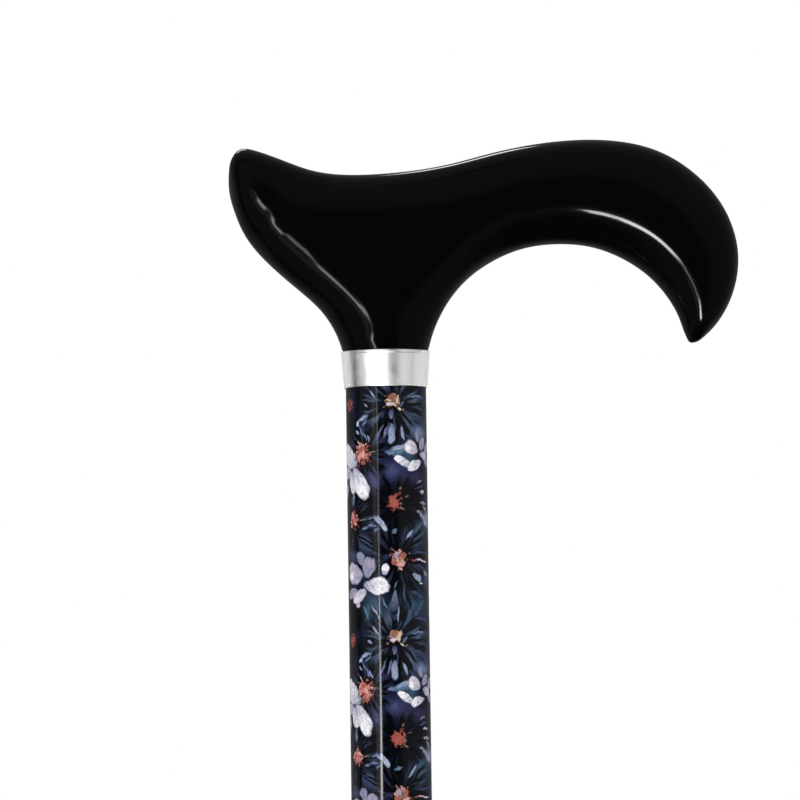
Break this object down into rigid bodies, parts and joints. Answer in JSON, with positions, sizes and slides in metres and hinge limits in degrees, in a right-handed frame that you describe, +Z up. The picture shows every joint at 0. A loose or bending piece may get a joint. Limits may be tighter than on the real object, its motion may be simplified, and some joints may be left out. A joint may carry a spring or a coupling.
{
  "type": "single point cane",
  "caption": "Height-adjustable single point cane: derby handle, thin collar, printed tube shaft, locking ring, sliding lower tube with snap button, rubber ferrule.",
  "frame": {"origin": "centre of the ferrule's flat bottom, on the shaft's axis", "axes": "+Z up the shaft, +X towards the long end of the grip, height holes and snap button on the +Y side"},
  "size_m": [0.1395, 0.036, 0.787],
  "materials": {
    "black_lacquer": "gloss black lacquer on shaped hardwood",
    "polished_silver": "polished silver plate",
    "floral_lacquer": "dark floral print under clear gloss lacquer",
    "black_anodised": "black anodised, satin",
    "zinc_steel": "bright zinc plate",
    "button_steel": "polished stainless steel",
    "spring_steel": "blued spring steel",
    "hardwood": "bare turned beech",
    "black_nylon": "moulded nylon",
    "white_nylon": "moulded natural nylon",
    "black_rubber": "moulded matt rubber"
  },
  "bodies": {
    "upper": {"derby_handle": "black_lacquer", "handle_stud": "zinc_steel", "shaft_plug": "hardwood", "plug_tack_left": "zinc_steel", "plug_tack_right": "zinc_steel", "collar": "polished_silver", "upper_tube": "floral_lacquer", "threaded_bushing": "black_nylon"},
    "clamp": {"clamp_ring": "white_nylon"},
    "ring": {"locking_ring": "black_anodised"},
    "lower": {"lower_tube": "black_anodised", "tube_guide": "white_nylon", "button_spring": "spring_steel", "ferrule": "black_rubber", "ferrule_washer": "zinc_steel"},
    "button": {"snap_button": "button_steel"}
  },
  "joints": [
    {"name": "height_slide", "type": "slide", "parent": "upper", "child": "lower", "axis": [0, 0, -1], "range_m": [0, 0.1524]},
    {"name": "button_press", "type": "slide", "parent": "lower", "child": "button", "axis": [0, -1, 0], "range_m": [0, 0.0038], "stiffness_N_per_m": 1200, "springref_m": -0.002, "deforming": ["button_spring"]},
    {"name": "clamp_travel", "type": "slide", "parent": "upper", "child": "clamp", "axis": [0, 0, -1], "range_m": [0, 0.002]},
    {"name": "ring_turn", "type": "hinge", "parent": "clamp", "child": "ring", "pos_m": [0, 0, 0.24], "axis": [0, 0, -1], "range_deg": [0, 360]}
  ],
  "couplings": [
    {"joint": "clamp_travel", "follows": "ring_turn", "m_per_rad": 0.00031831}
  ]
}
